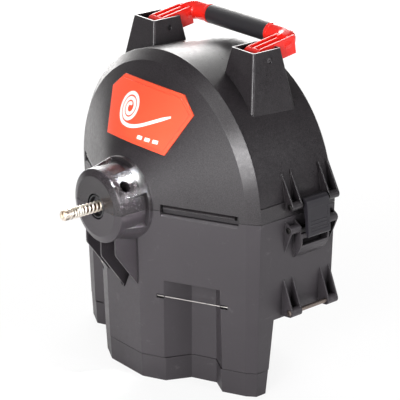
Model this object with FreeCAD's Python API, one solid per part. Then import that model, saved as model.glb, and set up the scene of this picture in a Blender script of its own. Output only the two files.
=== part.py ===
import FreeCAD, Part
import os, math
from FreeCAD import Vector

os.makedirs("parts", exist_ok=True)

# Enclosed drum drain-cleaning machine: a two-part plastic drum housing with a
# faceted prow, a split nose collar, a folding carry handle, side latches and
# a spinning cable drum inside.
#
# Working frame: x = 0 on the mirror plane, y = 0 on the front panel and z = 0
# at the foot seam.  Pieces are written shifted by OUTPUT_SHIFT, so the origin
# sits on the floor below the middle of the housing.  The cable leaves
# towards -Y, and +Z is up.

AXIS_Z = 222.0         # drum axis, also the split line of the housing
FLOOR_Z = -36.0
OUTPUT_SHIFT = Vector(0, -110, -FLOOR_Z)
WALL = 3.0
DRAFT = 6.2 / AXIS_Z   # outward draft of the base, mm per mm of height
FOOT_DRAFT = 0.045
GAP = 0.25             # half of the gap at the split line
BASE_TOP = AXIS_Z - GAP

# plan contour of the base at z = 0, (x, y) of the right-hand edges
DIAG_EDGE = (36.4, 0.0)         # centre panel to diagonal panel
CHAMFER_EDGE = (177.0, 70.9)    # diagonal panel to corner chamfer
SIDE_EDGE = (188.4, 81.6)       # corner chamfer to side
REAR_Y = 213.5                  # rear wall
SIDE_Z = 74.3                   # underside of the body at the sides
BELLY_R = 184.5                 # underside bulge round the drum
RECESS_TOP = 119.2              # top of the pockets in the diagonal panels

# collar
COLLAR_Y = -47.6       # front rim
NOSE_HOLE_R = 18.0
BUSH_R = 24.0
BUSH_SEAT = (-16.5, 1.5)        # y of the bushing seat
# rear bearing
BEARING_R = 31.0
BEARING_Y = (207.6, 216.9)

# lid
CONE_SLOPE = 0.504              # y per mm of radius on the conical front
CONE_R, CONE_Y = 37.9, -6.2     # where the cone starts
RING_IN_R, RING_IN_Y = 180.5, 65.7      # inner edge of the bevel ring
RING_OUT_R, RING_OUT_Y = 194.6, 78.9    # outer edge of the bevel ring
REAR_R = 190.0                  # vault radius at the rear
BAND_TOP = 244.0                # top of the vertical side band

# handle
PIVOT_Y, PIVOT_Z = 147.6, 419.8
ARM_R = 13.1
ARM_TILT = math.radians(8.7)
ARM_X0, ARM_X1 = 90.8, 116.0
GRIP_Y, GRIP_Z, GRIP_R = 211.0, 433.0, 14.0
GRIP_BAR_R = 9.0
GRIP_HALF = 62.0
TOWER_TOP = 433.3
TOWER_DRAFT = 0.176

# side brackets (y stations of the four fins) and rods (x, z)
FIN_Y = (124.0, 140.0, 191.5, 207.5)
FIN_HALF = 1.1
HINGE_ROD = (202.6, 239.0)
CATCH_ROD = (200.7, 204.6)
DOCK_ROD = (205.5, 85.5)
ROD_R = 3.0

# drum
DRUM_R = 173.0
DRUM_Y0, DRUM_Y1 = 88.0, 196.0
NOSE_R = 16.0
CABLE_R = 8.0
LEAD_Y = -90.0         # front end of the wound part of the cable


# ---------------------------------------------------------------------------
# shape helpers
# ---------------------------------------------------------------------------
def save(name, shape):
    moved = shape.copy()
    moved.translate(OUTPUT_SHIFT)
    moved.exportStep("parts/%s.step" % name)


def outline(points):
    return Part.makePolygon(points + points[:1])


def prism_x(points, x0, x1):
    face = Part.Face(outline([Vector(x0, y, z) for y, z in points]))
    return face.extrude(Vector(x1 - x0, 0, 0))


def prism_y(points, y0, y1):
    face = Part.Face(outline([Vector(x, y0, z) for x, z in points]))
    return face.extrude(Vector(0, y1 - y0, 0))


def prism_z(points, z0, z1):
    face = Part.Face(outline([Vector(x, y, z0) for x, y in points]))
    return face.extrude(Vector(0, 0, z1 - z0))


def loft(ring0, ring1):
    return Part.makeLoft([outline(ring0), outline(ring1)], True, True)


def loft_z(points0, z0, points1, z1):
    return loft([Vector(x, y, z0) for x, y in points0],
                [Vector(x, y, z1) for x, y in points1])


def rectangle(half_x, y0, y1):
    return [(-half_x, y0), (half_x, y0), (half_x, y1), (-half_x, y1)]


def box(x0, x1, y0, y1, z0, z1):
    return Part.makeBox(x1 - x0, y1 - y0, z1 - z0, Vector(x0, y0, z0))


def space(z0, z1):
    # a slab wider than the whole machine
    return box(-400, 400, -300, 500, z0, z1)


def cyl_x(radius, x0, x1, y, z):
    return Part.makeCylinder(radius, x1 - x0, Vector(x0, y, z), Vector(1, 0, 0))


def cyl_y(radius, y0, y1, x=0.0, z=AXIS_Z):
    return Part.makeCylinder(radius, y1 - y0, Vector(x, y0, z), Vector(0, 1, 0))


def cyl_z(radius, z0, z1, x, y):
    return Part.makeCylinder(radius, z1 - z0, Vector(x, y, z0), Vector(0, 0, 1))


def tube_y(outer_r, inner_r, y0, y1):
    return cyl_y(outer_r, y0, y1).cut(cyl_y(inner_r, y0 - 1, y1 + 1))


def revolve(points, x=0.0, z=AXIS_Z):
    # points are (radius, y) round an axis along Y
    face = Part.Face(outline([Vector(x, y, z + r) for r, y in points]))
    return face.revolve(Vector(x, 0, z), Vector(0, 1, 0), 360)


def turned(shape, degrees):
    # copy turned about the drum axis
    result = shape.copy()
    result.rotate(Vector(0, 0, AXIS_Z), Vector(0, 1, 0), degrees)
    return result


def mirrored(shape):
    return shape.mirror(Vector(0, 0, 0), Vector(1, 0, 0))


def both(shape):
    return [shape, mirrored(shape)]


def fuse(*items):
    shapes = []
    for item in items:
        shapes.extend(item if isinstance(item, (list, tuple)) else [item])
    return shapes[0].fuse(shapes[1:]) if len(shapes) > 1 else shapes[0]


def biggest(shape):
    return max(shape.Solids, key=lambda solid: solid.Volume)


def one_solid(shape):
    # merging coplanar faces can fail; the unmerged shape is then kept
    try:
        shape = shape.removeSplitter()
    except Exception:
        pass
    return biggest(shape)


# ---------------------------------------------------------------------------
# plan contour and the diagonal panels
# ---------------------------------------------------------------------------
def offset_line(point, normal, offset):
    # (nx, ny, c) with nx * x + ny * y = c
    return (normal[0], normal[1], normal[0] * point[0] + normal[1] * point[1] + offset)


def meet(line1, line2):
    det = line1[0] * line2[1] - line1[1] * line2[0]
    return ((line1[2] * line2[1] - line1[1] * line2[2]) / det,
            (line1[0] * line2[2] - line1[2] * line2[0]) / det)


def direction(start, end):
    dx, dy = end[0] - start[0], end[1] - start[1]
    length = math.hypot(dx, dy)
    return (dx / length, dy / length)


def right_normal(start, end):
    along = direction(start, end)
    return (along[1], -along[0])


DIAG_ALONG = direction(DIAG_EDGE, CHAMFER_EDGE)
DIAG_NORMAL = right_normal(DIAG_EDGE, CHAMFER_EDGE)
CHAMFER_NORMAL = right_normal(CHAMFER_EDGE, SIDE_EDGE)


def contour(z, inset=0.0, draft=DRAFT):
    grow = draft * z - inset
    lines = [(0.0, -1.0, grow),
             offset_line(DIAG_EDGE, DIAG_NORMAL, grow),
             offset_line(CHAMFER_EDGE, CHAMFER_NORMAL, grow),
             (1.0, 0.0, SIDE_EDGE[0] + grow),
             (0.0, 1.0, REAR_Y - inset)]
    right = [meet(line1, line2) for line1, line2 in zip(lines, lines[1:])]
    return right + [(-x, y) for x, y in reversed(right)]


def contour_solid(z0, z1, inset=0.0, draft=DRAFT):
    return loft_z(contour(z0, inset, draft), z0, contour(z1, inset, draft), z1)


def on_diag(along, depth, z):
    # plan point on the right diagonal panel at height z, depth inwards from it
    out = DRAFT * z - depth
    return (DIAG_EDGE[0] + DIAG_ALONG[0] * along + DIAG_NORMAL[0] * out,
            DIAG_EDGE[1] + DIAG_ALONG[1] * along + DIAG_NORMAL[1] * out)


def diag_box(along0, along1, depth0, depth1, z0, z1, z_ref):
    # upright block lined up with the diagonal panel at height z_ref
    corners = ((along0, depth0), (along1, depth0), (along1, depth1), (along0, depth1))
    return prism_z([on_diag(along, depth, z_ref) for along, depth in corners], z0, z1)


def diag_prism(profile, along, length):
    # profile of (depth, z) run along the diagonal panel
    face = Part.Face(outline([Vector(*on_diag(along, depth, AXIS_Z), z)
                              for depth, z in profile]))
    return face.extrude(Vector(DIAG_ALONG[0] * length, DIAG_ALONG[1] * length, 0))


def recess(grow, z_top):
    # tapered cut that forms the pocket in the right diagonal panel
    bottom_z = FLOOR_Z - 1
    reach = 14

    def ring(z, corners):
        sides = []
        for start, end in zip(corners, corners[1:]):
            along = direction(start, end)
            sides.append(offset_line(start, (-along[1], along[0]), grow))
        panel = offset_line(DIAG_EDGE, DIAG_NORMAL, DRAFT * z)
        first, last = meet(sides[0], panel), meet(sides[2], panel)
        first_out, last_out = [(x + DIAG_NORMAL[0] * reach, y + DIAG_NORMAL[1] * reach)
                               for x, y in (first, last)]
        return [first_out, first, meet(sides[0], sides[1]), meet(sides[1], sides[2]),
                last, last_out]

    bottom = ring(bottom_z, [(66.6, 15.9), (83.5, 52.4), (118.2, 68.7), (146.5, 55.8)])
    top = ring(z_top, [(70.1, 13.3), (83.5, 52.4), (116.8, 68.0), (144.9, 51.0)])
    return loft_z(bottom, bottom_z, top, z_top)


# ---------------------------------------------------------------------------
# shapes shared by the two housing halves
# ---------------------------------------------------------------------------
UPPER = space(AXIS_Z + GAP, 700)
LOWER = space(-200, BASE_TOP)

# outside of the collar: chamfered front rim, flare, rolled rear bead (radius, y)
COLLAR_PROFILE = [
    (0, COLLAR_Y + 0.9), (30, COLLAR_Y + 0.5), (41.5, COLLAR_Y), (42.6, COLLAR_Y + 0.15),
    (50.9, -44.0), (51.8, -43.2), (52.1, -42.0), (52.3, -33.0), (53.4, -28.0),
    (56.8, -14.0), (59.0, -3.0), (59.6, -1.6), (59.9, 0.4), (59.8, 2.6), (59.0, 6.6),
    (57.4, 9.0), (57.4, 12.0), (0, 12.0)]
SEAT_R = BUSH_R + 0.05
# hollows of the collar: nose hole with bushing seat, then rear annulus (radius, y)
COLLAR_CORES = [
    revolve([(0, COLLAR_Y - 5), (NOSE_HOLE_R, COLLAR_Y - 5), (NOSE_HOLE_R, -41.6),
             (38.5, -41.6), (44.5, -38.0), (45.0, -20.0), (28.5, -20.0), (28.5, -19.0),
             (20.0, -19.0), (20.0, BUSH_SEAT[0]), (SEAT_R, BUSH_SEAT[0]),
             (SEAT_R, BUSH_SEAT[1]), (20.0, BUSH_SEAT[1]), (20.0, 20.0), (0, 20.0)]),
    revolve([(28.5, -17.0), (45.0, -17.0), (46.0, -6.0), (50.5, 0.0), (50.5, 20.0),
             (28.5, 20.0)])]


def make_collar():
    # four shallow pockets show the straight barrel through the flare
    def ring(y, bottom_half, top_half):
        return [Vector(x, y, AXIS_Z + z) for x, z in (
            (-bottom_half, 40.0), (bottom_half, 40.0), (top_half, 75.0), (-top_half, 75.0))]

    wedge = loft(ring(-34.0, 15.0, 44.0), ring(-1.6, 9.0, 50.0))
    wedge = wedge.cut(cyl_y(52.35, -60, 20))
    return revolve(COLLAR_PROFILE).cut(fuse([turned(wedge, 90 * i) for i in range(4)]))


COLLAR = make_collar()

# radial line of the cable lock screw, and the oval access hole over it
LOCK_ANGLE = math.radians(48)
LOCK_CENTRE = Vector(0, -27, AXIS_Z)
LOCK_OUT = Vector(math.sin(LOCK_ANGLE), 0, math.cos(LOCK_ANGLE))
LOCK_ACROSS = Vector(math.cos(LOCK_ANGLE), 0, -math.sin(LOCK_ANGLE))


def access_hole():
    centre = LOCK_CENTRE + LOCK_OUT * 34
    oval = Part.Ellipse(centre + LOCK_ACROSS * 9.0, centre + Vector(0, 6.3, 0), centre)
    return Part.Face(Part.Wire([oval.toShape()])).extrude(LOCK_OUT * 40)


# rear bearing boss with a raised ring round it
BOSS = fuse(cyl_y(37.0, 205.5, 219.0),
            revolve([(70, 212), (76, 212), (76, 215.0), (75.2, 215.8), (70.8, 215.8),
                     (70, 215.0)]))
BOSS_CORE = fuse(cyl_y(BEARING_R + 0.03, BEARING_Y[0] - 0.1, BEARING_Y[1] + 0.1),
                 cyl_y(27.0, 204.0, 221.0))


def add_collar_and_boss(shell, half):
    return shell.fuse([COLLAR.common(half), BOSS.common(half)])


def open_nose_and_boss(shell, half):
    for core in COLLAR_CORES:
        shell = shell.cut(core.common(half))
    return shell.cut(BOSS_CORE)


def rear_rib(x, z0, z1):
    return box(x - 1.2, x + 1.2, REAR_Y - 1, REAR_Y + 2.2, z0, z1)


# finger slot across the split line, as stations along the diagonal panel
SLOT_START, SLOT_END = 33.5, 147.0
SLOT_DEPTH = 8.0
BACKING_START, BACKING_END, BACKING_DEPTH = 29, 151, (1.5, 11.0)


def add_slot_backing(shell, z0, z1):
    backing = diag_box(BACKING_START, BACKING_END, *BACKING_DEPTH, z0, z1, AXIS_Z)
    for piece in both(backing):
        shell = shell.fuse(piece)
    return shell


# ---------------------------------------------------------------------------
# side brackets and rods
# ---------------------------------------------------------------------------
def half_hull(points):
    def turn(origin, a, b):
        return ((a[0] - origin[0]) * (b[1] - origin[1])
                - (a[1] - origin[1]) * (b[0] - origin[0]))

    hull = []
    for point in points:
        while len(hull) >= 2 and turn(hull[-2], hull[-1], point) <= 1e-9:
            hull.pop()
        hull.append(point)
    return hull[:-1]


def bracket(wall_points, rod, radius):
    # four fins, each the convex hull of (x, z) wall points and the barrel
    # circle, with a barrel between each outer pair
    points = list(wall_points)
    for i in range(36):
        angle = math.radians(i * 10)
        points.append((rod[0] + radius * math.cos(angle), rod[1] + radius * math.sin(angle)))
    points = sorted(set(points))
    profile = half_hull(points) + half_hull(reversed(points))
    pieces = [prism_y(profile, y - FIN_HALF, y + FIN_HALF) for y in FIN_Y]
    for y0, y1 in (FIN_Y[:2], FIN_Y[2:]):
        pieces.append(cyl_y(radius, y0 - FIN_HALF + 0.01, y1 + FIN_HALF - 0.01, *rod))
    return pieces


def rod_bore(rod):
    return cyl_y(ROD_R + 0.04, 110, 215, *rod)


def headed_rod(rod):
    y0, y1 = FIN_Y[0] - FIN_HALF, FIN_Y[3] + FIN_HALF
    front_head = revolve([(0, y0 - 1.4), (2.6, y0 - 1.4), (3.9, y0 - 1.0), (4.4, y0 - 0.05),
                          (0, y0 - 0.05)], *rod)
    rear_head = revolve([(0, y1 + 0.05), (3.8, y1 + 0.05), (3.8, y1 + 0.8), (3.0, y1 + 1.4),
                         (0, y1 + 1.4)], *rod)
    return fuse(cyl_y(ROD_R, y0 - 0.1, y1 + 0.1, *rod), front_head, rear_head)


# ---------------------------------------------------------------------------
# base shell
# ---------------------------------------------------------------------------
# foot screws (x, y)
FRONT_SCREWS = [(-160, 84), (160, 84), (-20, 12), (20, 12)]
REAR_SCREWS = [(-52, 150), (52, 150), (-52, 198), (52, 198)]

# tie rods across the recesses: height, depth and ends along the panel
TIE_Z = 94.5
TIE_DEPTH = 2.0
TIE_START, TIE_END = 19.0, 137.0

# (y, z) limits of the prow, outside and inside
PROW_LIMIT = [(-60, -10), (102.3, -10), (102.3, 0), (108.3, SIDE_Z), (114.0, SIDE_Z + 70),
              (-60, SIDE_Z + 70)]
PROW_CAVITY = [(-60, 3.5), (99.4, 3.5), (105.1, SIDE_Z), (110.0, SIDE_Z + 66),
               (-60, SIDE_Z + 66)]


def base_outside():
    full = contour_solid(0.5, BASE_TOP)
    body = full.common(box(-300, 300, -100, 300, SIDE_Z, 300))
    prow = full.common(prism_x(PROW_LIMIT, -300, 300))
    belly = cyl_y(BELLY_R, 84.0, REAR_Y).common(box(-300, 300, 0, 300, 0, AXIS_Z - 2))
    keel = loft_z(rectangle(68.5, 90, 212.5), 0.5, rectangle(72.5, 90, REAR_Y), 120)
    return fuse(body, prow, belly, keel)


def base_cavity(full):
    body = full.common(box(-300, 300, -100, 300, SIDE_Z + WALL, 300))
    prow = full.common(prism_x(PROW_CAVITY, -300, 300))
    belly = cyl_y(BELLY_R - WALL, 84.0 + WALL, REAR_Y - WALL)
    belly = belly.common(box(-300, 300, 0, 300, 0, AXIS_Z + 1))
    keel = loft_z(rectangle(65.5, 100, 209.5), 3.5, rectangle(69.4, 100, 210.5), 118)
    cavity = fuse(body, prow, belly, keel)
    cavity = cavity.cut(fuse(both(recess(WALL, RECESS_TOP + WALL))))
    return cavity.common(box(-300, 300, -100, 300, 0, 400))


def collar_gussets():
    # three plates below the collar; the middle one reaches lower
    plates = []
    for x, dz in ((-32.5, 0.0), (0.0, -10.4), (32.5, 0.0)):
        profile = [(-40.0, 192), (-40.0, 160.5 + dz), (-39.4, 158.1 + dz),
                   (-38.2, 155.7 + dz), (0.0, 102.0 + dz), (3.5, 102.0 + dz), (3.5, 192)]
        plates.append(prism_x(profile, x - 1.4, x + 1.4))
    return fuse(plates).cut(cyl_y(49.5, -60, 30))


def add_gusset_pockets(base):
    # pockets in the front panel between the gussets, (x, z)
    pocket = prism_y([(1.4, 91.6), (4.0, 93.0), (11.5, 108.0), (31.1, 146.0), (31.1, 169.0),
                      (1.4, 169.0)], -12, 17.0)
    return base.fuse(box(-34.5, 34.5, 2.5, 20.0, 86.0, 176.0)).cut(fuse(both(pocket)))


def tie_cylinder(radius, trim):
    x, y = on_diag(TIE_START + trim, TIE_DEPTH, TIE_Z)
    return Part.makeCylinder(radius, TIE_END - TIE_START - 2 * trim, Vector(x, y, TIE_Z),
                             Vector(DIAG_ALONG[0], DIAG_ALONG[1], 0))


def add_tie_mounts(base):
    bosses = fuse([diag_box(start, end, 1.0, 9.0, TIE_Z - 6, TIE_Z + 6, TIE_Z)
                   for start, end in ((14, 35), (122, 141))])
    for piece, pocket in zip(both(bosses), both(recess(0, RECESS_TOP))):
        base = base.fuse(piece)
        base = base.cut(pocket)
    slots = fuse([diag_box(start, end, -2, 6.0, TIE_Z - 3.0, TIE_Z + 3.0, TIE_Z)
                  for start, end in ((25.0, 36), (120, 131.0))])
    for piece in both(fuse(slots, tie_cylinder(0.95, 0))):
        base = base.cut(piece)
    return base


def base_side_fittings(full_cavity):
    # right-hand catch and docking brackets
    catch = bracket([(191.0, 217.5), (190.5, 164.5)], CATCH_ROD, 6.2)
    dock = bracket([(188.6, 139.5), (188.3, 76.5)], DOCK_ROD, 6.5)
    # apron plate with a window between the inner fins, (x, z)
    y0, y1 = FIN_Y[1], FIN_Y[2]
    plate = prism_y([(203.8, 197.5), (207.6, 197.5), (207.8, 184.0), (206.0, 175.5),
                     (200.6, 166.2), (195.0, 160.4), (190.5, 157.4), (190.5, 162.0),
                     (196.6, 168.0), (202.4, 177.0), (203.8, 186.0)], y0, y1)
    plate = plate.cut(box(200, 215, y0 + 2.6, y1 - 2.6, 180.0, 190.5))
    cheek = [(190.5, 204.0), (206.6, 202.0), (206.4, 190.0), (204.0, 178.0), (190.5, 159.0)]
    cheeks = [prism_y(cheek, y - FIN_HALF, y + FIN_HALF) for y in (y0, y1)]
    return fuse(catch + [plate] + cheeks + dock).cut(full_cavity)


def base_shell():
    full_cavity = contour_solid_cavity = loft_z(
        contour(0.5, WALL), 0.5, contour(BASE_TOP + 1, WALL), BASE_TOP + 1)
    base = base_outside().cut(base_cavity(full_cavity))
    base = base.cut(fuse(both(recess(0, RECESS_TOP))))
    base = add_collar_and_boss(base, LOWER)
    base = base.fuse(collar_gussets())
    base = add_gusset_pockets(base)

    base = add_slot_backing(base, 207.0, BASE_TOP)
    # bevelled lower lip of the finger slot, (depth, z)
    lip = diag_prism([(-1.5, 212.0), (0.0, 213.6), (2.6, 217.6), (SLOT_DEPTH, 217.6),
                      (SLOT_DEPTH, 224), (-1.5, 224)], SLOT_START, SLOT_END - SLOT_START)
    base = base.cut(fuse(both(lip)))
    base = add_tie_mounts(base)

    bores = fuse(rod_bore(CATCH_ROD), rod_bore(DOCK_ROD))
    fittings = base_side_fittings(full_cavity).cut(bores)
    base = base.fuse(both(fittings))
    base = base.cut(fuse(both(bores)))
    base = open_nose_and_boss(base, LOWER)
    base = base.fuse([rear_rib(x, SIDE_Z + 8, AXIS_Z - 12) for x in (-150, -110, 110, 150)])
    # columns with blind holes for the foot screws
    for x, y in FRONT_SCREWS + REAR_SCREWS:
        base = base.fuse(cyl_z(5.0, 3.0, 14.0, x, y))
        base = base.cut(cyl_z(2.05, 0.0, 12.0, x, y))
    return one_solid(base)


save("base_shell", base_shell())
save("front_tie_rods", Part.makeCompound(both(tie_cylinder(0.9, 0.3))))
save("latch_catch_rods", Part.makeCompound(both(headed_rod(CATCH_ROD))))
save("docking_rods", Part.makeCompound(both(headed_rod(DOCK_ROD))))

# ---------------------------------------------------------------------------
# feet, foot screws and seal
# ---------------------------------------------------------------------------
FOOT_TOP = -0.4
FOOT_CAVITY_TOP = -4
FOOT_CAVITY_FLOOR = FLOOR_Z + 3.4
FOOT_RECESS_TOP = 20


def add_screw_columns(foot, positions):
    for x, y in positions:
        foot = foot.fuse(cyl_z(6.5, FLOOR_Z + 1, FOOT_TOP, x, y))
        foot = foot.cut(fuse(cyl_z(2.6, FLOOR_Z - 1, 1, x, y),
                             cyl_z(5.0, FLOOR_Z - 1, -14.0, x, y)))
    return one_solid(foot)


def front_foot():
    foot = contour_solid(FOOT_TOP, FLOOR_Z, 0.4, FOOT_DRAFT)
    foot = foot.common(prism_x([(-60, FLOOR_Z - 1), (98.9, FLOOR_Z - 1), (99.0, FLOOR_Z),
                                (101.7, FOOT_TOP), (101.7, 1), (-60, 1)], -300, 300))
    cavity = contour_solid(FOOT_CAVITY_TOP, FLOOR_Z, 3.6, FOOT_DRAFT)
    cavity = cavity.common(prism_x([(-60, FOOT_CAVITY_FLOOR), (95.6, FOOT_CAVITY_FLOOR),
                                    (98.0, FOOT_CAVITY_TOP), (-60, FOOT_CAVITY_TOP)],
                                   -300, 300))
    foot = foot.cut(cavity.cut(fuse(both(recess(3.2, FOOT_RECESS_TOP)))))
    foot = foot.cut(fuse(both(recess(0.0, FOOT_RECESS_TOP))))
    return add_screw_columns(foot, FRONT_SCREWS)


def rear_foot():
    foot = loft_z(rectangle(66.0, 102.5, 211.5), FLOOR_Z,
                  rectangle(68.3, 102.5, 212.3), FOOT_TOP)
    cavity = loft_z(rectangle(62.5, 106, 208), FOOT_CAVITY_FLOOR,
                    rectangle(64.8, 106, 209), FOOT_CAVITY_TOP)
    return add_screw_columns(foot.cut(cavity), REAR_SCREWS)


def foot_screw(x, y):
    screw = fuse(cyl_z(2.0, -15.5, 11.5, x, y), cyl_z(4.4, -17.5, -14.05, x, y))
    return screw.cut(Part.makeBox(3, 3, 2, Vector(x - 1.5, y - 1.5, -17.6)))


def split_line_seal():
    seal = prism_z(contour(AXIS_Z, 1.0), BASE_TOP + 0.02, AXIS_Z + GAP - 0.02)
    seal = seal.cut(prism_z(contour(AXIS_Z, 2.8), AXIS_Z - 2, AXIS_Z + 2))
    # left open at the collar, the rear boss and the finger slots
    seal = seal.cut(fuse(box(-62, 62, -60, 40, 200, 240), box(-40, 40, 190, 230, 200, 240)))
    for piece in both(diag_box(31, 149, -3, 9.0, 200, 240, AXIS_Z)):
        seal = seal.cut(piece)
    return Part.makeCompound(seal.Solids)


save("front_foot", front_foot())
save("rear_foot", rear_foot())
save("foot_screws",
     Part.makeCompound([foot_screw(x, y) for x, y in FRONT_SCREWS + REAR_SCREWS]))
save("split_line_seal", split_line_seal())

# ---------------------------------------------------------------------------
# lid shell
# ---------------------------------------------------------------------------
# vault outside and inside, (radius, y)
VAULT_OUTER = [(0, CONE_Y), (CONE_R, CONE_Y), (RING_IN_R, RING_IN_Y),
               (RING_OUT_R, RING_OUT_Y), (194.4, 81.0), (REAR_R + 0.3, REAR_Y - 2.4),
               (REAR_R - 1.4, REAR_Y), (0, REAR_Y)]
VAULT_INNER = [(0, CONE_Y + WALL), (CONE_R - 0.7, CONE_Y + WALL),
               (RING_IN_R - 1.6, RING_IN_Y + 2.6), (RING_OUT_R - 3.3, RING_OUT_Y + 1.6),
               (191.2, 83.0), (REAR_R - 3.0, REAR_Y - WALL), (0, REAR_Y - WALL)]

WELL_FLOOR_Z = 400.5               # upper face of the floor in the tower wells
TOWER_X = (82.4, 128.4)            # tower walls at the top
TOWER_Y = (121.6, 170.3)
PIN_SEAT_X = (82.4, 128.6)         # inner ends of the pivot pin counterbores
PIN_SEAT_R = 3.7


def tower_solid(inset, z0, z1):
    # right handle tower, widening downwards
    def ring(z):
        spread = (TOWER_TOP - z) * TOWER_DRAFT - inset
        x0, x1 = TOWER_X[0] - spread, TOWER_X[1] + spread
        y0, y1 = TOWER_Y[0] - spread, TOWER_Y[1] + spread
        return [(x0, y0), (x1, y0), (x1, y1), (x0, y1)]
    return loft_z(ring(z0), z0, ring(z1), z1)


def tower():
    solid = tower_solid(0.0, 330.0, TOWER_TOP)
    corners = [edge for edge in solid.Edges
               if abs(edge.Vertexes[0].Point.z - edge.Vertexes[-1].Point.z) > 50]
    return solid.makeFillet(3.2, corners).cut(revolve(VAULT_INNER))


def inner_band():
    return prism_z(contour(AXIS_Z, WALL), AXIS_Z - 3, BAND_TOP - WALL)


def lid_hull():
    vault = revolve(VAULT_OUTER).common(UPPER)
    # the side band keeps the plan outline of the base behind the bevel ring
    band = prism_z(contour(AXIS_Z), AXIS_Z + GAP, BAND_TOP)
    band = band.common(box(-300, 300, RING_OUT_Y, 300, 200, 300))
    hollow = revolve(VAULT_INNER).common(space(AXIS_Z - 5, 700))
    hollow_band = inner_band().common(box(-300, 300, RING_OUT_Y + 2, 300, 200, 300))
    return vault.fuse(band).fuse(both(tower())).cut(hollow).cut(hollow_band)


def finish_towers(lid):
    lid = lid.fuse(both(tower_solid(1.0, WELL_FLOOR_Z - 3.0, WELL_FLOOR_Z)))
    lid = lid.cut(fuse(both(tower_solid(2.8, WELL_FLOOR_Z, TOWER_TOP + 3))))
    # rear slot for the swing of the arm
    lid = lid.cut(fuse(both(box(88.6, 118.2, 160, 200, 408.6, TOWER_TOP + 5))))
    bosses = fuse(cyl_x(7.5, 117.0, PIN_SEAT_X[1], PIVOT_Y, PIVOT_Z),
                  cyl_x(7.5, 82.6, 89.8, PIVOT_Y, PIVOT_Z))
    lid = lid.fuse(both(bosses))
    seats = fuse(cyl_x(PIN_SEAT_R, PIN_SEAT_X[1], 150, PIVOT_Y, PIVOT_Z),
                 cyl_x(PIN_SEAT_R, 60, PIN_SEAT_X[0], PIVOT_Y, PIVOT_Z))
    return lid.cut(fuse(both(fuse(cyl_x(3.05, 60, 150, PIVOT_Y, PIVOT_Z), seats))))


def lid_rear_ribs():
    ribs = []
    for x, bottom in ((-120, 12), (-60, 60), (60, 60), (120, 12)):
        top = AXIS_Z + math.sqrt(170.0 ** 2 - x * x)
        ribs.append(rear_rib(x, AXIS_Z + bottom, top))
    return ribs


def lid_shell():
    lid = finish_towers(lid_hull())
    lid = add_collar_and_boss(lid, UPPER)
    lid = add_slot_backing(lid, AXIS_Z + GAP, 236.0)
    slot = diag_box(SLOT_START, SLOT_END, -4.0, SLOT_DEPTH, AXIS_Z, 231.3, AXIS_Z)
    # tongue inside the slot, (depth, z)
    tongue = diag_prism([(9.0, 229.6), (3.8, 229.6), (1.0, 226.9), (1.0, 226.0),
                         (2.6, 225.4), (3.2, 223.4), (9.0, 223.4)], 36.8, 104.6)
    for slot_piece, tongue_piece in zip(both(slot), both(tongue)):
        lid = lid.cut(slot_piece)
        lid = lid.fuse(tongue_piece)

    hinge = fuse(bracket([(183.8, 283.4), (190.6, 231.0)], HINGE_ROD, 6.0))
    hinge = hinge.cut(revolve(VAULT_INNER))
    hinge = hinge.cut(inner_band())
    lid = lid.fuse(both(hinge))
    lid = lid.cut(fuse(both(rod_bore(HINGE_ROD))))

    lid = open_nose_and_boss(lid, space(AXIS_Z, 700))
    lid = lid.cut(access_hole())
    lid = lid.fuse(lid_rear_ribs())
    return one_solid(lid.common(UPPER))


save("lid_shell", lid_shell())
save("latch_hinge_rods", Part.makeCompound(both(headed_rod(HINGE_ROD))))


# ---------------------------------------------------------------------------
# badge plate wrapped on the conical front
# ---------------------------------------------------------------------------
def cone_solid(offset):
    # everything behind the cone surface, moved outwards along its normal
    start_y = CONE_Y - offset / math.cos(math.atan(CONE_SLOPE))
    return revolve([(0, start_y - CONE_R * CONE_SLOPE),
                    (260, start_y + (260 - CONE_R) * CONE_SLOPE), (260, 300), (0, 300)])


def badge_prism(inset):
    # six-sided outline with bowed top and bottom edges
    def at(x, z):
        return Vector(x, -60, z)

    top_x, top_z = 63.8 - 0.42 * inset, 374.8 - inset
    side_x, side_z = 87.6 - 1.12 * inset, 352.9 - 0.05 * inset
    low_x, low_z = 62.8 - 0.62 * inset, 296.7 + inset
    top, side, low = at(top_x, top_z), at(side_x, side_z), at(low_x, low_z)
    top_left, side_left, low_left = at(-top_x, top_z), at(-side_x, side_z), at(-low_x, low_z)
    edges = [Part.Arc(top_left, at(0, 377.2 - inset), top).toShape(),
             Part.makeLine(top, side), Part.makeLine(side, low),
             Part.Arc(low, at(0, 301.0 + inset), low_left).toShape(),
             Part.makeLine(low_left, side_left), Part.makeLine(side_left, top_left)]
    return Part.Face(Part.Wire(edges)).extrude(Vector(0, 200, 0))


def badge_plate():
    rim = badge_prism(0).common(cone_solid(2.0))
    raised = badge_prism(5.0).common(cone_solid(3.0))
    return one_solid(rim.fuse(raised).cut(cone_solid(0.15)))


save("badge_plate", badge_plate())


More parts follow.
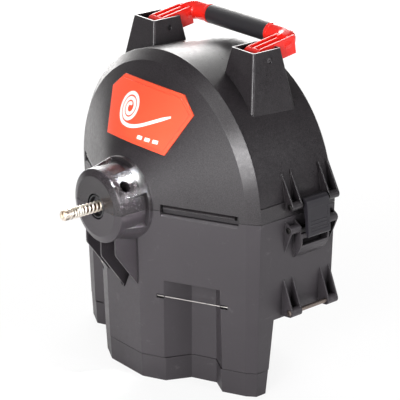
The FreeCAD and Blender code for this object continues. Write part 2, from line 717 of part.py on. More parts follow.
# ---------------------------------------------------------------------------
# latches
# ---------------------------------------------------------------------------
def latch():
    y0 = FIN_Y[1] + FIN_HALF + 4.2
    y1 = FIN_Y[2] - FIN_HALF - 4.6
    # lever curling over the hinge rod, (x, z)
    lever = prism_y([
        (215.8, 193.6), (216.9, 195.6), (216.6, 199.0), (213.4, 232.0), (212.6, 239.5),
        (211.0, 243.6), (208.0, 246.0), (204.6, 246.6), (201.4, 246.3), (198.4, 245.2),
        (196.3, 243.0), (195.4, 240.0), (195.6, 236.8), (197.2, 234.2), (199.6, 232.6),
        (203.4, 231.8), (208.6, 231.0), (211.6, 199.5), (212.4, 194.6), (213.8, 193.4)],
        y0, y1)
    # side skirts stiffen the lever
    skirt = [(213.0, 198.0), (211.4, 232.0), (205.5, 232.0), (209.3, 214.0), (210.4, 200.0)]
    lever = lever.fuse([prism_y(skirt, y0, y0 + 2.4), prism_y(skirt, y1 - 2.4, y1)])
    # shallow panel in the outer face, with three grip ribs left standing
    panel = prism_y([(220, 201.0), (216.0, 201.0), (213.0, 233.5), (220, 233.5)],
                    y0 + 4.0, y1 - 4.0)
    ribs = []
    for z in (204.5, 209.5, 214.5):
        crest_x = 216.9 - (z - 199) * 0.096 + 0.3
        ribs.append(prism_y([(210, z - 0.9), (crest_x, z - 0.5), (crest_x, z + 0.5),
                             (210, z + 0.9)], y0 + 5.5, y1 - 5.5))
    lever = lever.cut(panel.cut(fuse(ribs)))
    return one_solid(lever.cut(cyl_y(ROD_R + 0.06, y0 - 1, y1 + 1, *HINGE_ROD)))


right_latch = latch()
save("latch_right", right_latch)
save("latch_left", mirrored(right_latch))


# ---------------------------------------------------------------------------
# handle
# ---------------------------------------------------------------------------
def pivot_pin():
    def along_pivot(radius, x0, x1):
        return cyl_x(radius, x0, x1, PIVOT_Y, PIVOT_Z)

    pin = fuse(along_pivot(3.0, 82.0, 129.0), along_pivot(3.5, 128.65, 130.0),
               along_pivot(3.5, 81.0, 82.35))
    return pin.cut(fuse(along_pivot(1.7, 129.0, 131), along_pivot(1.7, 80, 82.0)))


def arm_point(along, height):
    # (y, z) from arm coordinates with the pivot as origin
    cos_tilt, sin_tilt = math.cos(ARM_TILT), math.sin(ARM_TILT)
    return (PIVOT_Y + along * cos_tilt - height * sin_tilt,
            PIVOT_Z + along * sin_tilt + height * cos_tilt)


def arm_bar(radius, length, x0, x1):
    # rounded nose about the pivot, straight top and bottom up to length
    def at(along, height):
        return Vector(x0, *arm_point(along, height))

    edges = [Part.Arc(at(0, radius), at(-radius, 0), at(0, -radius)).toShape(),
             Part.makeLine(at(0, -radius), at(length, -radius)),
             Part.makeLine(at(length, -radius), at(length, radius)),
             Part.makeLine(at(length, radius), at(0, radius))]
    return Part.Face(Part.Wire(edges)).extrude(Vector(x1 - x0, 0, 0))


def arm_elbow():
    # quarter torus turning the arm inwards, between two straight runs
    bend_r = 16.5
    elbow_r = ARM_R + 0.45
    length = math.hypot(GRIP_Y - PIVOT_Y, GRIP_Z - PIVOT_Z)
    dir_y, dir_z = (GRIP_Y - PIVOT_Y) / length, (GRIP_Z - PIVOT_Z) / length
    along = Vector(0, dir_y, dir_z)
    corner = Vector(0.5 * (ARM_X0 + ARM_X1), GRIP_Y, GRIP_Z)
    start = corner - along * bend_r
    section = Part.Face(Part.Wire([Part.Circle(start, along, elbow_r).toShape()]))
    bend = section.revolve(start - Vector(bend_r, 0, 0), Vector(0, -dir_z, dir_y), 90)
    run = section.extrude(along * (-6))
    straight = cyl_x(elbow_r, GRIP_HALF + 3.0, corner.x - bend_r, GRIP_Y, GRIP_Z)
    flange = cyl_x(elbow_r + 0.7, GRIP_HALF + 0.2, GRIP_HALF + 5.0, GRIP_Y, GRIP_Z)
    return fuse(bend, run, straight, flange)


def handle_arm():
    skirt_x = ARM_X1 - 2.4
    arm = arm_bar(ARM_R, 52.0, ARM_X0, skirt_x)
    arm = arm.fuse([arm_elbow()])
    # outer skirt squares the outside of the elbow
    arm = arm.fuse(arm_bar(ARM_R, 60.5, skirt_x, ARM_X1))
    # two deep channels between three ribs, open at the top: (along, height)
    channel = [arm_point(along, height) for along, height in (
        (-10.9, 1.5), (-9.6, 5.4), (-7.0, 8.6), (-4.0, 10.3), (-2.0, 10.9), (-2.0, 30.0),
        (49.5, 30.0), (47.0, 1.5))]
    for x0, x1 in ((ARM_X0 + 2.2, 101.9), (104.1, ARM_X1 - 2.2)):
        arm = arm.cut(prism_x(channel, x0, x1))
    return arm.cut(cyl_x(3.09, ARM_X0 - 2, ARM_X1 + 2, PIVOT_Y, PIVOT_Z))


def handle_frame():
    arm = handle_arm()
    bar = cyl_x(GRIP_BAR_R, -GRIP_HALF - 1.0, GRIP_HALF + 1.0, GRIP_Y, GRIP_Z)
    return one_solid(arm.fuse([mirrored(arm), bar]))


def handle_grip():
    grip = cyl_x(GRIP_R, -GRIP_HALF, GRIP_HALF, GRIP_Y, GRIP_Z)
    # the end rims stay sharp if the fillet fails
    try:
        grip = grip.makeFillet(1.2, [edge for edge in grip.Edges if edge.Closed])
    except Exception:
        pass
    return grip.cut(cyl_x(GRIP_BAR_R + 0.02, -GRIP_HALF - 1, GRIP_HALF + 1, GRIP_Y, GRIP_Z))


save("handle_pivot_pins", Part.makeCompound(both(pivot_pin())))
save("handle_frame", handle_frame())
save("handle_grip", handle_grip())

# ---------------------------------------------------------------------------
# bearings
# ---------------------------------------------------------------------------
OUTER_RACE_R, INNER_RACE_R = 26.4, 22.1     # race faces towards the balls
BALL_RING_R = (OUTER_RACE_R + INNER_RACE_R) / 2
BALL_Y = sum(BEARING_Y) / 2


def race(outer_r, inner_r):
    groove = Part.makeTorus(BALL_RING_R, 2.35, Vector(0, BALL_Y, AXIS_Z), Vector(0, 1, 0))
    return tube_y(outer_r, inner_r, *BEARING_Y).cut(groove)


def bearing_balls():
    balls = []
    for i in range(12):
        angle = math.radians(30 * i)
        balls.append(Part.makeSphere(2.28, Vector(BALL_RING_R * math.cos(angle), BALL_Y,
                                                  AXIS_Z + BALL_RING_R * math.sin(angle))))
    return Part.makeCompound(balls)


save("nose_bushing",
     tube_y(BUSH_R, NOSE_R + 0.05, BUSH_SEAT[0] + 0.2, BUSH_SEAT[1] - 0.2))
save("rear_bearing_outer", race(BEARING_R, OUTER_RACE_R))
save("rear_bearing_inner", race(INNER_RACE_R, 17.53))
save("rear_bearing_balls", bearing_balls())


# ---------------------------------------------------------------------------
# drum
# ---------------------------------------------------------------------------
def screw_circle(radius, first):
    # (x, z) of six screws, the first at that many degrees from the top
    angles = [math.radians(60 * i + first) for i in range(6)]
    return [(radius * math.sin(a), AXIS_Z + radius * math.cos(a)) for a in angles]


def drill(shape, positions, radius, y0, y1):
    for x, z in positions:
        shape = shape.cut(cyl_y(radius, y0, y1, x, z))
    return shape


COVER_SCREWS = screw_circle(50.0, 30)
HUB_SCREWS = screw_circle(40.0, 0)
SCREW_R, TAPPED_R, CLEAR_R = 2.0, 2.05, 2.6
COVER_Y, COVER_CONE_R = 26, 60      # front face, radius where its cone starts
RIM_R = DRUM_R - 3                  # inside of the drum rim


def drum_front_cover():
    cover = revolve([(42, COVER_Y), (COVER_CONE_R, COVER_Y), (DRUM_R, DRUM_Y0),
                     (DRUM_R, DRUM_Y0 + 6), (RIM_R, DRUM_Y0 + 6), (RIM_R, DRUM_Y0 + 1.6),
                     (59.2, 29.2), (42, 29.2)])
    cover = drill(cover, COVER_SCREWS, CLEAR_R, 20, 35)
    # six ribs behind the cone
    slope = (DRUM_Y0 - COVER_Y) / (DRUM_R - COVER_CONE_R)
    inner_r, outer_r = 75, 168
    inner_y = COVER_Y + slope * (inner_r - COVER_CONE_R)
    outer_y = COVER_Y + slope * (outer_r - COVER_CONE_R)
    rib = prism_x([(inner_y + 2, AXIS_Z + inner_r), (outer_y + 2, AXIS_Z + outer_r),
                   (DRUM_Y0 + 8, AXIS_Z + outer_r), (inner_y + 16, AXIS_Z + inner_r)],
                  -1.5, 1.5)
    return one_solid(cover.fuse([turned(rib, 60 * i + 12) for i in range(6)]))


def drum_pan():
    pan = revolve([(21.0, DRUM_Y1), (DRUM_R, DRUM_Y1), (DRUM_R, DRUM_Y0 + 6.1),
                   (RIM_R, DRUM_Y0 + 6.1), (RIM_R, DRUM_Y1 - 3), (21.0, DRUM_Y1 - 3)])
    return drill(pan, HUB_SCREWS, CLEAR_R, DRUM_Y1 - 5, DRUM_Y1 + 5)


def drum_nose():
    nose = revolve([(14.4, -46.4), (15.6, -46.4), (NOSE_R, -46.0), (NOSE_R, 12.0),
                    (19.0, 14.0), (19.0, 20.0), (58.0, 22.8), (58.0, 25.9), (9.2, 25.9),
                    (9.2, -37.0), (14.4, -39.0)])
    nose = drill(nose, COVER_SCREWS, TAPPED_R, 10, 27)
    return nose.cut(Part.makeCylinder(4.03, 30, LOCK_CENTRE + LOCK_OUT * 2, LOCK_OUT))


def cable_lock_screw():
    screw = Part.makeCylinder(4.0, 6.4, LOCK_CENTRE + LOCK_OUT * 10.6, LOCK_OUT)
    return screw.cut(Part.makeCylinder(2.0, 4.0, LOCK_CENTRE + LOCK_OUT * 14.0, LOCK_OUT))


def drum_hub():
    hub = revolve([(0, DRUM_Y1 + 0.05), (56.0, DRUM_Y1 + 0.05), (56.0, DRUM_Y1 + 3.4),
                   (22.0, DRUM_Y1 + 5.5), (19.5, 204.4), (19.5, 207.4), (17.5, 207.4),
                   (17.5, 218.0), (10.0, 218.0), (10.0, 229.5), (9.4, 230.2), (6.0, 230.2),
                   (6.0, 219.3), (0, 217.3)])
    return drill(hub, HUB_SCREWS, TAPPED_R, DRUM_Y1 - 2, DRUM_Y1 + 8)


def drive_coupling():
    radius = 27.0
    dog = box(-4.5, 4.5, 228.0, 233.5, AXIS_Z + 15.5, AXIS_Z + 25.5)
    dogs = [turned(dog, 60 * i) for i in range(6)]
    coupling = tube_y(radius, 10.03, 219.6, 229.0).fuse(dogs)
    return one_solid(coupling.common(cyl_y(radius, 210, 240)))


def drum_screws():
    head_r = 4.2
    screws = [fuse(cyl_y(SCREW_R, 23.2, 29.3, x, z), cyl_y(head_r, 29.25, 31.8, x, z))
              for x, z in COVER_SCREWS]
    screws += [fuse(cyl_y(SCREW_R, DRUM_Y1 - 3.1, DRUM_Y1 + 3.2, x, z),
                    cyl_y(head_r, DRUM_Y1 - 5.6, DRUM_Y1 - 3.05, x, z))
               for x, z in HUB_SCREWS]
    return Part.makeCompound(screws)


save("drum_front_cover", drum_front_cover())
save("drum_pan", drum_pan())
save("drum_nose", drum_nose())
save("cable_lock_screw", cable_lock_screw())
save("drum_hub", drum_hub())
save("drive_coupling", drive_coupling())
save("drum_screws", drum_screws())


# ---------------------------------------------------------------------------
# cable
# ---------------------------------------------------------------------------
def cable_coil():
    # cable stored in the drum
    pitch, turns, coil_r = 17.2, 4.6, 152.0
    path = Part.Wire(Part.makeHelix(pitch, pitch * turns, coil_r).Edges)
    first = path.Edges[0]
    start = first.valueAt(first.FirstParameter)
    tangent = first.tangentAt(first.FirstParameter)
    section = Part.Wire([Part.Circle(start, tangent, CABLE_R - 0.2).toShape()])
    coil = path.makePipeShell([section], True, True)
    coil.rotate(Vector(0, 0, 0), Vector(1, 0, 0), -90)
    coil.translate(Vector(0, 100.5, AXIS_Z))
    return coil


def cable_guide_tube():
    # tube feeding the cable to the nose: straight, bent upwards, straight
    start = Vector(0, 26.3, AXIS_Z)
    first_run, bend_r, bend_degrees, last_run = 14, 34, 65, 62
    rings = [Part.Wire([Part.Circle(start, Vector(0, 1, 0), radius).toShape()])
             for radius in (11.0, 8.8)]
    section = Part.Face(rings)
    entry = section.extrude(Vector(0, first_run, 0))
    bend_start = section.copy()
    bend_start.translate(Vector(0, first_run, 0))
    pivot = start + Vector(0, first_run, bend_r)
    bend = bend_start.revolve(pivot, Vector(1, 0, 0), bend_degrees)
    bend_end = bend_start.copy()
    bend_end.rotate(pivot, Vector(1, 0, 0), bend_degrees)
    angle = math.radians(bend_degrees)
    leaving = bend_end.extrude(Vector(0, math.cos(angle), math.sin(angle)) * last_run)
    return one_solid(fuse(entry, bend, leaving))


def cable_spring():
    # stacked rings; their spacing opens between y = -70 and y = -38
    root_r, width = 4.7, 2.9
    points = [(root_r, LEAD_Y)]
    y = LEAD_Y
    while y < 22.0:
        pitch = 6.2 if -70.0 < y < -38.0 else 3.9
        points += [(6.0, y), (CABLE_R - 0.5, y + 0.3), (CABLE_R, y + width / 2),
                   (CABLE_R - 0.5, y + width - 0.3), (6.0, y + width),
                   (5.4, y + width + 0.2), (5.4, y + pitch - 0.2)]
        y += pitch
    return revolve(points + [(root_r, points[-1][1])])


def cable_tip():
    # end fitting as (radius, y from LEAD_Y), with a slot across part of its front
    profile = [(2.4, -12.5), (6.0, -12.5), (7.2, -11.4), (7.2, -5.2), (6.2, -4.6),
               (6.2, -3.2), (7.7, -2.4), (7.7, -0.05), (0, -0.05), (0, -9.5), (2.4, -10.5)]
    tip = revolve([(radius, LEAD_Y + y) for radius, y in profile])
    return biggest(tip.cut(box(-1.6, 1.6, LEAD_Y - 13, LEAD_Y - 6.5,
                               AXIS_Z + 2.0, AXIS_Z + 12)))


save("cable_coil", cable_coil())
save("cable_guide_tube", cable_guide_tube())
save("cable_spring", cable_spring())
save("cable_core", cyl_y(4.6, LEAD_Y + 0.1, 21.5))
save("cable_tip", cable_tip())
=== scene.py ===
# A lidded machine housing on feet, with a cable coil coming out of its nose. X runs
# across it from the mirror plane, -Y points to the front, Z is up. This script adds
# the wire coil, the badge marks, the materials and the studio. Shapes are measured in
# millimetres from the CAD datum, and everything else is in scene metres.
import bpy
import math
from mathutils import Vector, Matrix


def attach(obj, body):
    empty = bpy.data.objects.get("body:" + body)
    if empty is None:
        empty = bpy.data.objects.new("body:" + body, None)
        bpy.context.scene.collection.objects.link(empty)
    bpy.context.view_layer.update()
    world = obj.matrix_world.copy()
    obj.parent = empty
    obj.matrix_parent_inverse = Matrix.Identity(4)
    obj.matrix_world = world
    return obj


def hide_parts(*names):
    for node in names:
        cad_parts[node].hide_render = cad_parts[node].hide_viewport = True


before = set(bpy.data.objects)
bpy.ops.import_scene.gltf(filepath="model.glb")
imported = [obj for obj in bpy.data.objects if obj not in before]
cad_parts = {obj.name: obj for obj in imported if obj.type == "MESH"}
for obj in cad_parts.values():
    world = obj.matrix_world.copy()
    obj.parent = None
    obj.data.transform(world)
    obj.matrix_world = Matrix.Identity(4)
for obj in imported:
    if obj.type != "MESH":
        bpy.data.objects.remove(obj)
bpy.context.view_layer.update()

scene = bpy.context.scene

# CAD datum in scene metres: x on the mirror plane, y at the front panel, z at the foot seam
DATUM_Y, DATUM_Z = -0.110, 0.036
AXIS_Z = 222.0  # mm, height of the cable axis above the datum


def from_cad(x, y, z):
    """Scene position of a CAD point given in millimetres."""
    return Vector((x / 1000.0, y / 1000.0 + DATUM_Y, z / 1000.0 + DATUM_Z))


# ---------------------------------------------------------------------------
# shader helpers
# ---------------------------------------------------------------------------
def set_inputs(tree, node, inputs):
    """Link each input to a socket, or set its value."""
    for key, value in inputs.items():
        socket = node.inputs[key]
        if isinstance(value, bpy.types.NodeSocket):
            tree.links.new(value, socket)
        elif socket.type == "RGBA":
            socket.default_value = (*value, 1.0)
        else:
            socket.default_value = value


def add_node(tree, kind, inputs, **settings):
    node = tree.nodes.new("ShaderNode" + kind)
    for key, value in settings.items():
        setattr(node, key, value)
    set_inputs(tree, node, inputs)
    return node


def new_material(name):
    material = bpy.data.materials.new(name)
    material.use_nodes = True
    tree = material.node_tree
    tree.nodes.clear()
    output = add_node(tree, "OutputMaterial", {})
    shader = add_node(tree, "BsdfPrincipled", {})
    set_inputs(tree, output, {"Surface": shader.outputs["BSDF"]})
    return material, tree, shader, output


def noise(tree, vector, scale, detail, roughness, distortion=0.0):
    return add_node(tree, "TexNoise", {
        "Scale": scale, "Detail": detail, "Roughness": roughness,
        "Distortion": distortion, "Vector": vector}).outputs["Fac"]


def remap(tree, value, source, target):
    """Map the source range onto the target range, clamped."""
    return add_node(tree, "MapRange", {
        "From Min": source[0], "From Max": source[1],
        "To Min": target[0], "To Max": target[1], "Value": value}).outputs["Result"]


def mix_colour(tree, factor, first, second):
    # 0, 6 and 7 are the factor and the two colour sockets
    node = add_node(tree, "Mix", {}, data_type="RGBA")
    set_inputs(tree, node, {0: factor, 6: first, 7: second})
    return node.outputs[2]


def calculate(tree, operation, first, second):
    return add_node(tree, "Math", {0: first, 1: second}, operation=operation).outputs[0]


def uneven_roughness(tree, fine, broad, middle, fine_swing, broad_swing):
    """Roughness around a middle value, varied by a fine and a broad noise."""
    return calculate(
        tree, "ADD",
        remap(tree, fine, (0.3, 0.7), (middle - fine_swing, middle + fine_swing)),
        remap(tree, broad, (0.3, 0.7), (-broad_swing, broad_swing)))


def add_relief(tree, shader, height, strength, distance, bevel):
    """Bump the surface over softened edges; distance and bevel radius in metres."""
    relief = add_node(tree, "Bump", {
        "Strength": strength, "Distance": distance, "Height": height})
    edges = add_node(tree, "Bevel", {"Radius": bevel}, samples=6)
    set_inputs(tree, relief, {"Normal": edges.outputs["Normal"]})
    set_inputs(tree, shader, {"Normal": relief.outputs["Normal"]})


# ---------------------------------------------------------------------------
# materials
# ---------------------------------------------------------------------------
DUST_COLOUR = (0.2, 0.19, 0.19)
# painted shade: near-black colour laid into crevices and recesses from ambient occlusion
PAINTED_SHADE_COLOUR = (0.004, 0.0038, 0.0042)
PAINTED_SHADE_REACH = 0.03  # m, how far the painted shade reaches out of a crevice
COLLAR_Y = (DATUM_Y - 0.009, DATUM_Y - 0.005)  # m, blend from nose collar to shell


def plastic(name, colour, roughness, grain_scale, grain_height, speckle, blotch,
            specular, bevel, dust=0.0, collar=None, crevice=0.0):
    material, tree, shader, _ = new_material(name)
    position = add_node(tree, "TexCoord", {}).outputs["Object"]
    grain = noise(tree, position, grain_scale, detail=3.0, roughness=0.65)
    broad = noise(tree, position, scale=14.0, detail=3.0, roughness=0.55, distortion=0.4)
    fine = noise(tree, position, scale=160.0, detail=4.0, roughness=0.6)

    # speckle from the grain, then paler blotches, dust, and painted shade that darkens crevices
    # and recesses
    ramp = add_node(tree, "ValToRGB", {"Fac": grain})
    stops = ((0.35, 1 - speckle), (0.65, 1 + speckle))
    for element, (place, gain) in zip(ramp.color_ramp.elements, stops):
        element.position = place
        element.color = (*(c * gain for c in colour), 1.0)
    pale = tuple(min(1.0, c * 1.8 + 0.01) for c in colour)
    surface = mix_colour(tree, remap(tree, broad, (0.3, 0.7), (0.0, blotch)),
                         ramp.outputs["Color"], pale)
    if dust:
        wear = noise(tree, position, scale=60.0, detail=6.0, roughness=0.7, distortion=0.6)
        surface = mix_colour(tree, remap(tree, wear, (0.62, 0.78), (0.0, dust)),
                             surface, DUST_COLOUR)
    # painted shade: ambient occlusion darkens the colour towards near black in crevices and
    # recesses
    if crevice:
        openness = add_node(tree, "AmbientOcclusion", {"Distance": PAINTED_SHADE_REACH}, samples=4)
        surface = mix_colour(
            tree, remap(tree, openness.outputs["AO"], (0.12, 0.62), (crevice, 0.0)),
            surface, PAINTED_SHADE_COLOUR)

    rough = uneven_roughness(tree, fine, broad, roughness, fine_swing=0.05, broad_swing=0.03)
    if collar is not None:
        # the nose collar is moulded smoother than the rest of the shell
        axes = add_node(tree, "SeparateXYZ", {0: position})
        on_collar = remap(tree, axes.outputs["Y"], COLLAR_Y, (1.0, 0.0))
        # 0, 2 and 3 are the factor and the two float sockets
        rough = add_node(tree, "Mix", {0: on_collar, 2: rough, 3: collar}).outputs[0]
    set_inputs(tree, shader, {
        "Base Color": surface, "Roughness": rough, "Specular IOR Level": specular})
    add_relief(tree, shader, grain, strength=1.0, distance=grain_height, bevel=bevel)
    return material


def metal(name, colour, roughness, scratch, bevel=0.0003, tint=None, grain=(1, 1, 1)):
    material, tree, shader, _ = new_material(name)
    position = add_node(tree, "TexCoord", {}).outputs["Object"]
    stretched = add_node(tree, "Mapping", {"Scale": grain, "Vector": position})
    fine = noise(tree, stretched.outputs["Vector"], scale=3000.0, detail=3.0, roughness=0.6)
    broad = noise(tree, position, scale=45.0, detail=3.0, roughness=0.6)
    second = tint or tuple(c * 0.72 for c in colour)
    surface = mix_colour(tree, remap(tree, broad, (0.35, 0.7), (0.0, 1.0)), second, colour)
    rough = uneven_roughness(tree, fine, broad, roughness, scratch, broad_swing=0.04)
    set_inputs(tree, shader, {"Base Color": surface, "Metallic": 1.0, "Roughness": rough})
    add_relief(tree, shader, fine, strength=0.5, distance=0.00002, bevel=bevel)
    return material


BASE_COLOUR = (0.036, 0.0315, 0.0355)
FOOT_COLOUR = tuple(c * 0.9 for c in BASE_COLOUR)
ALONG_Y = {"grain": (1, 0.03, 1)}  # scratches drawn out along Y

# name: colour, roughness, grain scale, grain height (m), speckle, blotch, specular,
# bevel radius (m), then the amounts of dust and of painted shade in crevices and the collar's
# roughness
PLASTICS = {
    "lid_plastic": ((0.017, 0.0142, 0.0160), 0.34, 700.0, 0.00006, 0.75, 0.10, 0.55, 0.0012,
                    {"dust": 0.2, "collar": 0.27, "crevice": 0.8}),
    "base_plastic": (BASE_COLOUR, 0.44, 1900.0, 0.00004, 0.12, 0.10, 0.45, 0.0012,
                     {"dust": 0.25, "collar": 0.28, "crevice": 0.92}),
    "foot_plastic": (FOOT_COLOUR, 0.44, 1900.0, 0.00004, 0.12, 0.10, 0.45, 0.0009,
                     {"dust": 0.3}),
    "latch_plastic": ((0.0125, 0.0110, 0.0150), 0.40, 1900.0, 0.00004, 0.15, 0.08, 0.5,
                      0.0007, {"dust": 0.2, "crevice": 0.7}),
    "badge_plastic": ((0.84, 0.085, 0.035), 0.34, 2400.0, 0.00002, 0.03, 0.04, 0.5, 0.0006, {}),
    "icon_print": ((0.86, 0.84, 0.80), 0.4, 2400.0, 0.00002, 0.03, 0.02, 0.5, 0.0002, {}),
    "handle_red": ((0.86, 0.022, 0.014), 0.22, 1800.0, 0.00003, 0.05, 0.05, 0.55, 0.0007, {}),
    "grip_rubber": ((0.022, 0.021, 0.024), 0.42, 1500.0, 0.00008, 0.2, 0.08, 0.5, 0.0007, {}),
    "seal_rubber": ((0.012, 0.012, 0.012), 0.6, 1500.0, 0.00005, 0.2, 0.05, 0.3, 0.0001, {}),
    "drum_plastic": ((0.02, 0.02, 0.022), 0.35, 1500.0, 0.00005, 0.15, 0.1, 0.5, 0.0006, {}),
    "cable_core": ((0.10, 0.055, 0.025), 0.5, 1500.0, 0.00005, 0.3, 0.2, 0.5, 0.0002, {}),
}

# name: colour, roughness, swing of the roughness along scratches, then what differs
METALS = {
    "rod_steel": ((0.62, 0.61, 0.60), 0.28, 0.08, ALONG_Y),  # spare, no piece wears it
    "screw_steel": ((0.50, 0.50, 0.52), 0.33, 0.06, {}),
    "cable_nickel": ((0.95, 0.90, 0.83), 0.30, 0.06,
                     {"bevel": 0.0001, "tint": (0.80, 0.68, 0.54)}),
    "bush_bronze": ((0.48, 0.30, 0.13), 0.35, 0.06, {}),
    "bearing_steel": ((0.7, 0.7, 0.72), 0.15, 0.04, {}),
    "drum_alloy": ((0.13, 0.13, 0.135), 0.32, 0.08, {}),
    "tie_rod_steel": ((0.46, 0.44, 0.42), 0.34, 0.08, {}),
    "black_screw": ((0.05, 0.048, 0.046), 0.35, 0.06, {}),
    "pin_steel": ((0.16, 0.15, 0.155), 0.36, 0.06, {}),
    "rod_phosphated": ((0.30, 0.25, 0.22), 0.38, 0.08, ALONG_Y),
    "coupling_alloy": ((0.60, 0.61, 0.63), 0.32, 0.08, {}),
}

# CAD piece: material
PIECES = {
    "base_shell": "base_plastic", "front_foot": "foot_plastic", "rear_foot": "foot_plastic",
    "foot_screws": "screw_steel", "front_tie_rods": "tie_rod_steel",
    "latch_catch_rods": "black_screw", "docking_rods": "rod_phosphated",
    "split_line_seal": "seal_rubber", "nose_bushing": "bush_bronze",
    "rear_bearing_outer": "bearing_steel", "rear_bearing_balls": "bearing_steel",
    "rear_bearing_inner": "bearing_steel", "lid_shell": "lid_plastic",
    "latch_hinge_rods": "black_screw", "badge_plate": "badge_plastic",
    "handle_pivot_pins": "pin_steel", "latch_left": "latch_plastic",
    "latch_right": "latch_plastic", "handle_frame": "handle_red", "handle_grip": "grip_rubber",
    "drum_front_cover": "drum_plastic", "drum_pan": "drum_plastic", "drum_nose": "drum_alloy",
    "cable_lock_screw": "screw_steel", "drum_hub": "coupling_alloy",
    "drive_coupling": "coupling_alloy", "drum_screws": "screw_steel",
    "cable_coil": "cable_nickel", "cable_guide_tube": "coupling_alloy",
    "cable_spring": "cable_nickel", "cable_core": "cable_core", "cable_tip": "cable_nickel",
}

materials = {}
for maker, table in ((plastic, PLASTICS), (metal, METALS)):
    for name, (*values, extras) in table.items():
        materials[name] = maker(name, *values, **extras)
for name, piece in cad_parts.items():
    piece.data.materials.clear()
    piece.data.materials.append(materials[PIECES[name]])


def add_mesh(name, verts, faces, material, smooth=False):
    mesh = bpy.data.meshes.new(name)
    mesh.from_pydata([tuple(v) for v in verts], [], faces)
    mesh.validate()
    mesh.update()
    if smooth:
        for polygon in mesh.polygons:
            polygon.use_smooth = True
    obj = bpy.data.objects.new(name, mesh)
    scene.collection.objects.link(obj)
    mesh.materials.append(material)
    return obj


# ---------------------------------------------------------------------------
# cable: real coiled wire in place of the ring stack (mm)
# ---------------------------------------------------------------------------
COIL_OUTER_RADIUS = 8.0
WIRE_RADIUS = 1.42
WIRE_SIDES = 10
COIL_LEAD_Y = -90.0
COIL_START_Y = COIL_LEAD_Y + 1.5
COIL_END_Y = 20.0
COIL_STEP = math.radians(18)
TIP_PITCH, OPEN_PITCH, REAR_PITCH = 3.9, 6.3, 3.5
TIP_END_Y, OPEN_START_Y, OPEN_END_Y = -74, -66, -38


def coil_pitch(y):
    """Advance per turn: fairly close at the tip, open behind it, closest at the rear."""
    if y < TIP_END_Y:
        return TIP_PITCH
    if y < OPEN_START_Y:
        share = (y - TIP_END_Y) / (OPEN_START_Y - TIP_END_Y)
        return TIP_PITCH + (OPEN_PITCH - TIP_PITCH) * share
    if y < OPEN_END_Y:
        return OPEN_PITCH
    return REAR_PITCH


def coil_points():
    radius = COIL_OUTER_RADIUS - WIRE_RADIUS
    y, angle = COIL_START_Y, 0.0
    points = [from_cad(radius, y, AXIS_Z)]
    while y < COIL_END_Y:
        angle += COIL_STEP
        y += coil_pitch(y) * COIL_STEP / (2 * math.pi)
        points.append(from_cad(radius * math.cos(angle), y, AXIS_Z + radius * math.sin(angle)))
    return points


def build_coil():
    points = coil_points()
    sides, last = WIRE_SIDES, len(points) - 1
    verts, faces = [], []
    normal = Vector((1, 0, 0))  # the wire starts out almost straight up
    for i, point in enumerate(points):
        tangent = (points[min(last, i + 1)] - points[max(0, i - 1)]).normalized()
        normal = (normal - tangent * normal.dot(tangent)).normalized()
        side = tangent.cross(normal)
        for k in range(sides):
            angle = 2 * math.pi * k / sides
            spoke = normal * math.cos(angle) + side * math.sin(angle)
            verts.append(point + spoke * (WIRE_RADIUS / 1000.0))
    for i in range(last):
        for k in range(sides):
            a = i * sides + k
            b = i * sides + (k + 1) % sides
            faces.append((a, b, b + sides, a + sides))
    faces.append(tuple(reversed(range(sides))))
    faces.append(tuple(range(last * sides, (last + 1) * sides)))
    coil = add_mesh("cable_wire_coil", verts, faces, materials["cable_nickel"], smooth=True)
    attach(coil, "cable")
    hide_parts("cable_spring")


# ---------------------------------------------------------------------------
# badge: a coil with a run of cable, and three short bars, laid on the cone (mm)
# ---------------------------------------------------------------------------
CONE_SLOPE = 0.504  # y gained per unit of radius
COLLAR_RADIUS, COLLAR_EDGE_Y = 37.9, -6.2  # a point of the cone's profile
MARK_LIFT = 3.0  # of the marks off the cone, along its normal
MARK_SINK, MARK_RISE = -0.3, 0.45  # underside and top of a mark about that lift
COIL_MARK_WIDTH, BAR_WIDTH = 4.6, 4.4
TAPER_POINTS, END_WIDTH = 4.0, 0.55  # tapered run in points, share of width at the ends

SPIRAL_X, SPIRAL_Z = -24.0, 341.0
SPIRAL_RADIUS, SPIRAL_GROWTH = 4.0, 17.0
SPIRAL_TURNS, SPIRAL_START = 2.6, math.radians(54)
SPIRAL_STEPS = 104
TAIL_PULL = 26  # from the spiral's end to the tail's first handle
TAIL_HANDLE, TAIL_END = (22.0, 332.0), (56.0, 345.0)
TAIL_STEPS = 30

BAR_X, BAR_SPACING, BAR_Z = 12.0, 14.0, 311.0
BAR_POINTS, BAR_STEP = 5, 2.2


def cone_y(x, z, lift):
    radius = math.hypot(x, z - AXIS_Z)
    edge = COLLAR_EDGE_Y - lift / math.cos(math.atan(CONE_SLOPE))
    return edge + (radius - COLLAR_RADIUS) * CONE_SLOPE


def add_ribbon(name, line, width, taper=False):
    """Flat strip on the cone along a line of (x, z) points."""
    last = len(line) - 1
    verts, faces = [], []
    for i, (x, z) in enumerate(line):
        x0, z0 = line[max(0, i - 1)]
        x1, z1 = line[min(last, i + 1)]
        dx, dz = x1 - x0, z1 - z0
        length = math.hypot(dx, dz)
        half = width * 0.5
        if taper:
            inset = min(i, last - i) / TAPER_POINTS
            half *= min(1.0, END_WIDTH + (1 - END_WIDTH) * inset)
        for side, height in ((-1, MARK_SINK), (1, MARK_SINK), (1, MARK_RISE), (-1, MARK_RISE)):
            px = x - dz / length * half * side
            pz = z + dx / length * half * side
            verts.append(from_cad(px, cone_y(px, pz, MARK_LIFT + height), pz))
    for i in range(last):
        for k in range(4):
            a = i * 4 + k
            b = i * 4 + (k + 1) % 4
            faces.append((a, a + 4, b + 4, b))
    faces.append((0, 1, 2, 3))
    faces.append(tuple(last * 4 + k for k in (3, 2, 1, 0)))
    ribbon = add_mesh(name, verts, faces, materials["icon_print"])
    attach(ribbon, "lid")


